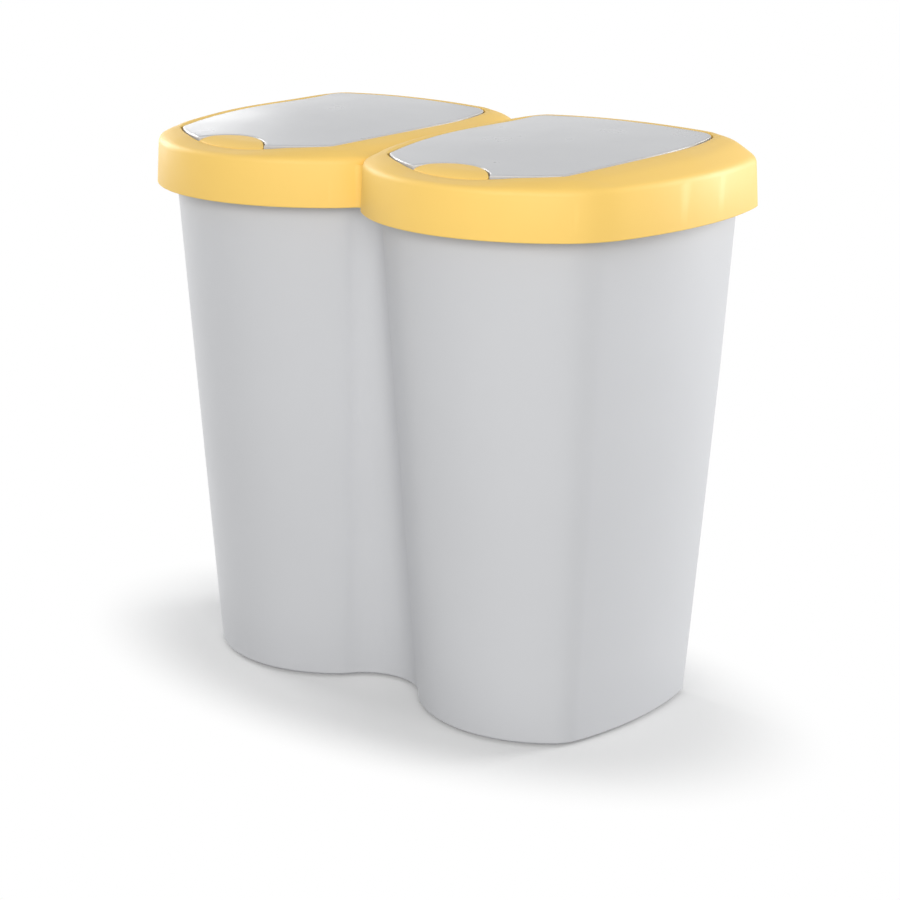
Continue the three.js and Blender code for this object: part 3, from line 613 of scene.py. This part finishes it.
def flap_outline():
    """The flap's plan, counterclockwise: the mouth's outline drawn in by the gap, less the notch."""
    ring = [tapered(x, y) for x, y in half_ring(MOUTH_PLAN, -FLAP["gap"])]
    reach = BUTTON["half"] + FLAP["notch_gap"]
    kept = [p for p in ring if not (abs(p[0]) < reach + 0.01 and p[1] < 0)]
    right = [p for p in kept if p[0] > 0 and p[1] < 0]
    first = min(right, key=lambda p: p[0])
    i = kept.index(first)
    kept = kept[i:] + kept[:i]
    gap_r = MOUTH_PLAN["front_r"] - FLAP["gap"]
    corner_y = MOUTH_PLAN["front_r"] - MOUTH_PLAN["front"] - math.sqrt(gap_r ** 2 - reach ** 2)
    steps = 36
    edge_x = reach - 0.6
    arch = [(-edge_x + 2 * edge_x * i / steps, notch_front(-edge_x + 2 * edge_x * i / steps))
            for i in range(steps + 1)]
    left_wall = [(-reach, corner_y), (-reach, (corner_y + arch[0][1]) / 2)]
    right_wall = [(reach, (corner_y + arch[-1][1]) / 2), (reach, corner_y)]
    return even(kept + left_wall + arch + right_wall, 260)


def even(points, count):
    """The same closed outline with its points spread evenly, and its corners kept a little round."""
    lengths = [math.dist(a, b) for a, b in zip(points, points[1:] + points[:1])]
    total = sum(lengths)
    result, k, passed = [], 0, 0.0
    for i in range(count):
        target = total * i / count
        while passed + lengths[k] < target:
            passed += lengths[k]
            k += 1
        t = (target - passed) / lengths[k]
        a, b = points[k], points[(k + 1) % len(points)]
        result.append((a[0] + (b[0] - a[0]) * t, a[1] + (b[1] - a[1]) * t))
    return result


def drawn_in(ring, inset):
    """A closed counterclockwise outline moved inwards by inset, along its smoothed normals."""
    count = len(ring)
    result = []
    for i, (x, y) in enumerate(ring):
        (ax, ay), (bx, by) = ring[i - 1], ring[(i + 1) % count]
        tx, ty = bx - ax, by - ay
        length = math.hypot(tx, ty)
        result.append((x - inset * ty / length, y + inset * tx / length))
    return result


def fanned(ring, middle):
    """Angle and distance of each point from the middle, with no point behind its neighbour.
    Angles start at the notch. The steep ends of the notch would fold the rings inside them."""
    polar = [[math.atan2(x - middle[0], middle[1] - y), math.dist((x, y), middle)] for x, y in ring]
    start = min(range(len(polar)), key=lambda i: abs(polar[i][0]))
    for way in (1, -1):
        last = polar[start][0]
        for i in range(1, len(polar) // 2):
            point = polar[(start + way * i) % len(polar)]
            last = point[0] = way * max(way * point[0], way * last + FAN_STEP)
    return polar


def swing_limit(x, y, z, inset):
    """Keeps the flap's back inside the round that it turns in, about the hinge axis."""
    if y <= HINGE["y"]:
        return y
    a = side_arcs(MOUTH_PLAN, 0)
    edge = MOUTH_PLAN["back"]
    over = abs(x) - a["back_c"][0]
    if over > 0:
        edge = a["back_c"][1] + math.sqrt(max(a["back_r"] ** 2 - over ** 2, 0))
    radius = edge - HINGE["y"] - HINGE["swing_gap"] - inset
    height = z - HINGE["z"]
    return min(y, HINGE["y"] + math.sqrt(max(radius ** 2 - height ** 2, 0)))


def make_flap():
    outline = flap_outline()
    middle = FLAP_MIDDLE
    r = FLAP["edge_round"]

    def level(inset, drop):
        ring = []
        for x, y in drawn_in(outline, inset):
            z = crown(x, y) - drop
            ring.append((x, swing_limit(x, y, z, inset), z))
        return ring

    def spokes(inset, drop, shares):
        edge = fanned(drawn_in(outline, inset), middle)
        rings = []
        for s in shares:
            ring = []
            for angle, reach in edge:
                px, py = middle[0] + s * reach * math.sin(angle), middle[1] - s * reach * math.cos(angle)
                z = crown(px, py) - drop
                ring.append((px, swing_limit(px, py, z, inset), z))
            rings.append(ring)
        return rings

    shares = FLAP_SHARES
    thick, rim = FLAP["thick"], FLAP["rim_thick"]
    rings = list(reversed(spokes(rim + 1.5, thick, shares)))
    rings += [level(rim + 1.5, thick), level(rim, thick + 1.5), level(rim, FLAP["rim_depth"] - 0.4)]
    rings += [level(rim - 0.4, FLAP["rim_depth"]), level(0.4, FLAP["rim_depth"]),
              level(0.0, FLAP["rim_depth"] - 0.4), level(0.0, r + 1.2)]
    rings += [level(r * (1 - math.cos(a)), r * (1 - math.sin(a)))
              for a in (math.radians(d) for d in (0, 15, 30, 45, 60, 75, 90))]
    rings += spokes(r, 0.0, shares)
    flap = loft("flap", rings)
    h, y, z = EAR["half"], HINGE["y"], HINGE["z"]
    extras = []
    for side in (-1, 1):
        x0, x1 = sorted((side * EAR["inner"], side * EAR["outer"]))
        ear = block(x0, x1, y - h, y + h, EAR["bottom"], EAR["top"])
        combine(ear, [rod_along_x(HINGE["hole_r"], x0 - 1, x1 + 1, y, z)], "DIFFERENCE")
        extras.append(ear)
    face = notch_front(0) + TONGUE["set_back"]
    half, bottom = TONGUE["half"], TONGUE["bottom"]
    extras.append(block(-half, half, face, face + rim, bottom, TONGUE["top"]))
    extras.append(block(1 - half, half - 1, face - TONGUE["barb"], face + 1, bottom, TONGUE["barb_top"]))
    return combine(flap, extras, "UNION", "EXACT")


# ---------- push button ----------
def button_top(x, y):
    centre_y = MOUTH_PLAN["front_r"] - MOUTH_PLAN["front"]
    inside = MOUTH_PLAN["front_r"] - math.dist((x, y), (0, centre_y))
    edge_y = front_y(x, 0)
    drop = crown(x, edge_y) - mouth_edge(x, edge_y)
    return crown(x, y) - drop * max(0.0, 1 - inside / BUTTON_ROUND) ** 2


def make_button():
    half, seam = BUTTON["half"], BUTTON["seam"]
    steps = 40
    xs = [-half + 2 * half * i / steps for i in range(steps + 1)]
    front = [(x, front_y(x, -seam)) for x in xs]
    back = [(x, back_y(x, 0)) for x in reversed(xs)]
    ends = [(half, (front[-1][1] + back[0][1]) / 2)], [(-half, (front[0][1] + back[-1][1]) / 2)]
    outline = even(front + ends[0] + back + ends[1], 150)
    r = BUTTON["edge_round"]
    middle = BUTTON_MIDDLE

    def level(inset, drop):
        return [(x, y, button_top(x, y) - drop) for x, y in drawn_in(outline, inset)]

    def spoke(inset, drop, s):
        return [(x * s, middle[1] + (y - middle[1]) * s,
                 button_top(x * s, middle[1] + (y - middle[1]) * s) - drop)
                for x, y in drawn_in(outline, inset)]

    shares = BUTTON_SHARES
    under, thick = BUTTON_WALL + 0.2, BUTTON_TOP_THICK
    rings = [spoke(under, thick, s) for s in reversed(shares)]
    rings += [level(under, thick), at_z(drawn_in(outline, BUTTON_WALL), BUTTON["bottom"]),
              at_z(outline, BUTTON["bottom"])]
    rings += [level(0.0, r + 1.0)]
    rings += [level(r * (1 - math.cos(a)), r * (1 - math.sin(a)))
              for a in (math.radians(d) for d in (0, 18, 36, 54, 72, 90))]
    rings += [spoke(r, 0.0, s) for s in shares]
    button = loft("button", rings)
    wall_y = back_y(TAB["x"], 0)
    tab = block(TAB["x"] - 2, TAB["x"] + 2, wall_y - TAB["root"], wall_y + TAB["reach"],
                TAB["bottom"], TAB["top"])
    combine(button, [mirrored_copy(tab), tab], "UNION")
    w = WINDOW
    window = block(-w["half"], w["half"], w["front"], w["back"], BUTTON["bottom"] - 1, w["top"])
    return combine(button, [window], "DIFFERENCE")


# ---------- button springs ----------
def make_button_spring(x):
    """A coil of round wire that stands on the latch carrier, under the button."""
    turn_steps, sides = 24, 10
    wire, coil = BUTTON_SPRING["wire_r"], BUTTON_SPRING["coil_r"]
    low, high = BUTTON_SPRING["bottom"] + wire, BUTTON_SPRING["top"] - wire
    steps = BUTTON_SPRING["turns"] * turn_steps
    climb = (high - low) / (2 * math.pi * BUTTON_SPRING["turns"])
    rings = []
    for i in range(steps + 1):
        a = 2 * math.pi * i / turn_steps
        out = Vector((math.cos(a), math.sin(a), 0))
        along = Vector((-coil * math.sin(a), coil * math.cos(a), climb)).normalized()
        up = along.cross(out)
        centre = Vector((x, BUTTON_SPRING["y"], low + (high - low) * i / steps)) + coil * out
        rings.append([tuple(centre + wire * (math.cos(b) * out + math.sin(b) * up))
                      for b in (2 * math.pi * k / sides for k in range(sides))])
    return loft("button_spring", rings)


# ---------- scene ----------
def finish_piece(obj, name, body, node, material):
    obj.name = name
    smooth(obj)
    obj.data.materials.clear()
    obj.data.materials.append(material)
    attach(obj, body)
    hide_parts(node)
    return obj


def seen_directly(nodes, links):
    """1 for what the camera sees, also in a gloss or through something clear, else 0."""
    path = nodes.new("ShaderNodeLightPath")
    total = path.outputs["Is Camera Ray"]
    for name in ("Is Glossy Ray", "Is Transmission Ray"):
        add = nodes.new("ShaderNodeMath")
        add.operation = "MAXIMUM"
        links.new(total, add.inputs[0])
        links.new(path.outputs[name], add.inputs[1])
        total = add.outputs[0]
    return total


def floor_material(name):
    """A floor that takes the real shadows near the bin, with painted shade there as well: its seen colour
    near the bin is darker, lifted a little, and fades to plain white away from the bin.
    """
    material = bpy.data.materials.new(name)
    material.use_nodes = True
    nodes, links = material.node_tree.nodes, material.node_tree.links
    nodes.remove(nodes["Principled BSDF"])
    plain = nodes.new("ShaderNodeBsdfDiffuse")
    plain.inputs["Color"].default_value = (*FLOOR_BOUNCE, 1.0)
    lit = nodes.new("ShaderNodeBsdfDiffuse")
    lit.inputs["Color"].default_value = (*FLOOR_SEEN_NEAR_SHADED, 1.0)
    lift = nodes.new("ShaderNodeEmission")
    lift.inputs["Strength"].default_value = FLOOR_LIFT
    near = nodes.new("ShaderNodeAddShader")
    links.new(lit.outputs[0], near.inputs[0])
    links.new(lift.outputs[0], near.inputs[1])
    white = nodes.new("ShaderNodeEmission")
    place = nodes.new("ShaderNodeTexCoord")
    squeeze = nodes.new("ShaderNodeVectorMath")
    squeeze.operation = "MULTIPLY"
    squeeze.inputs[1].default_value = FLOOR_PAINTED_SHADE_SQUEEZE
    links.new(place.outputs["Object"], squeeze.inputs[0])
    reach = nodes.new("ShaderNodeVectorMath")
    reach.operation = "LENGTH"
    links.new(squeeze.outputs["Vector"], reach.inputs[0])
    # Painted shade: the floor's seen colour is darker near the bin and fades to plain white away from it.
    painted_shade_fade = nodes.new("ShaderNodeMapRange")
    painted_shade_fade.interpolation_type = "SMOOTHSTEP"
    painted_shade_fade.inputs["From Min"].default_value, painted_shade_fade.inputs["From Max"].default_value = FLOOR_PAINTED_SHADE_FADE
    links.new(reach.outputs["Value"], painted_shade_fade.inputs["Value"])
    ground = nodes.new("ShaderNodeMixShader")
    links.new(painted_shade_fade.outputs["Result"], ground.inputs["Fac"])
    links.new(near.outputs[0], ground.inputs[1])
    links.new(white.outputs[0], ground.inputs[2])
    both = nodes.new("ShaderNodeMixShader")
    links.new(seen_directly(nodes, links), both.inputs["Fac"])
    links.new(plain.outputs[0], both.inputs[1])
    links.new(ground.outputs[0], both.inputs[2])
    links.new(both.outputs[0], nodes["Material Output"].inputs["Surface"])
    return material


def area_light(name, at, target, size, power, colour=(1, 1, 1)):
    light = bpy.data.lights.new(name, "AREA")
    light.shape = "RECTANGLE"
    light.size, light.size_y = size
    light.energy = power
    light.color = colour
    obj = bpy.data.objects.new(name, light)
    obj.location = at
    obj.rotation_euler = (Vector(target) - Vector(at)).to_track_quat("-Z", "Y").to_euler()
    bpy.context.scene.collection.objects.link(obj)
    return obj


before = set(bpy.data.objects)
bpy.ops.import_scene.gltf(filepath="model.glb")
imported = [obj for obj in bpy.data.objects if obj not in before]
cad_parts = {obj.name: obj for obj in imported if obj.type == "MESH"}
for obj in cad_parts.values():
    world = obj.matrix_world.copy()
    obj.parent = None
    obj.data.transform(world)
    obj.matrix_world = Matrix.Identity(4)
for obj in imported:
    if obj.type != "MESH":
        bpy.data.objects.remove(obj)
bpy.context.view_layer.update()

body_plastic = plastic("bin_grey", srgb(207, 208, 211), 0.36, coat=0.15)
flap_plastic = plastic("flap_grey", srgb(195, 196, 199), 0.3, coat=0.3, grain=0.001)
yellow_plastic = plastic("lid_yellow", srgb(253, 211, 112), 0.5)
inner_plastic = plastic("latch_grey", srgb(154, 157, 161), 0.45)
steel = brushed_steel("steel_wire")

finish_piece(make_body(), "body_shell", "bin", "bin_body", body_plastic)
finish_piece(make_lid(), "lid_shell", "lid", "lid_frame", yellow_plastic)
flap, button = make_flap(), make_button()
for label, x in (("left", -PITCH / 2), ("right", PITCH / 2)):
    for source, kind, node, slot, material in (
        (flap, "flap_cover", "flap_", "flap_plastic", flap_plastic),
        (button, "button_cap", "push_button_", "frame_plastic", yellow_plastic),
    ):
        piece = bpy.data.objects.new(kind, source.data.copy())
        bpy.context.scene.collection.objects.link(piece)
        shifted(piece, x)
        body = "flap_" + label if kind == "flap_cover" else "button_" + label
        finish_piece(piece, kind + "_" + label, body, node + label, material)
for source in (flap, button):
    bpy.data.objects.remove(source)

for label, x in (("left", -PITCH / 2), ("right", PITCH / 2)):
    for number, side in ((1, -1), (2, 1)):
        at_x = x + side * BUTTON_SPRING["x"]
        end = "%s_%d" % (label, number)
        coil = finish_piece(make_button_spring(at_x), "push_coil_" + end, "lid",
                            "button_spring_" + end, steel)
        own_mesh(coil)

for name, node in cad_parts.items():
    if "flap_spring" in name or "pin" in name:
        node.material_slots[0].material = steel
    elif "carrier" in name:
        node.material_slots[0].material = inner_plastic

# Floor
floor = mesh_object("floor", [(-9000, -9000, 0), (9000, -9000, 0), (9000, 9000, 0), (-9000, 9000, 0)],
                    [(0, 1, 2, 3)])
floor.data.materials.append(floor_material("floor_painted_shade"))

# World: a plain pale room, white where the camera sees it.
world = bpy.data.worlds.new("studio")
bpy.context.scene.world = world
world.use_nodes = True
w_nodes, w_links = world.node_tree.nodes, world.node_tree.links
room = w_nodes["Background"]
room.inputs["Color"].default_value = (*ROOM[0], 1.0)
room.inputs["Strength"].default_value = ROOM[1]
seen = w_nodes.new("ShaderNodeBackground")
seen.inputs["Color"].default_value = (1, 1, 1, 1)
seen.inputs["Strength"].default_value = 1.0
mix = w_nodes.new("ShaderNodeMixShader")
w_links.new(seen_directly(w_nodes, w_links), mix.inputs["Fac"])
w_links.new(room.outputs["Background"], mix.inputs[1])
w_links.new(seen.outputs["Background"], mix.inputs[2])
w_links.new(mix.outputs["Shader"], w_nodes["World Output"].inputs["Surface"])

area_light("key", (0.5, -2.6, 1.5), (0, 0, 0.25), (1.2, 1.2), 22, (1.0, 0.99, 0.97))
area_light("front_right", (1.9, -2.0, 1.2), (0, 0, 0.25), (1.2, 1.2), 29, (1.0, 0.99, 0.97))
area_light("back_right", (1.5, 2.4, 0.8), (0, 0, 0.3), (1.0, 1.4), 58)
area_light("left", (-2.7, 0.2, 1.0), (0, 0, 0.25), (1.0, 1.4), 36)
area_light("card", (-2.6, 1.6, 1.0), (0, 0, 0.45), (1.0, 0.8), 3)

# Camera
camera = bpy.data.cameras.new("camera")
camera.lens = CAMERA_LENS
camera.sensor_width = 36
camera.clip_end = 50
camera_object = bpy.data.objects.new("camera", camera)
camera_object.location = CAMERA_AT
camera_object.rotation_euler = (math.pi / 2 - CAMERA_DOWN, 0, CAMERA_TURN)
bpy.context.scene.collection.objects.link(camera_object)
bpy.context.scene.camera = camera_object
bpy.context.scene.view_settings.view_transform = "Standard"
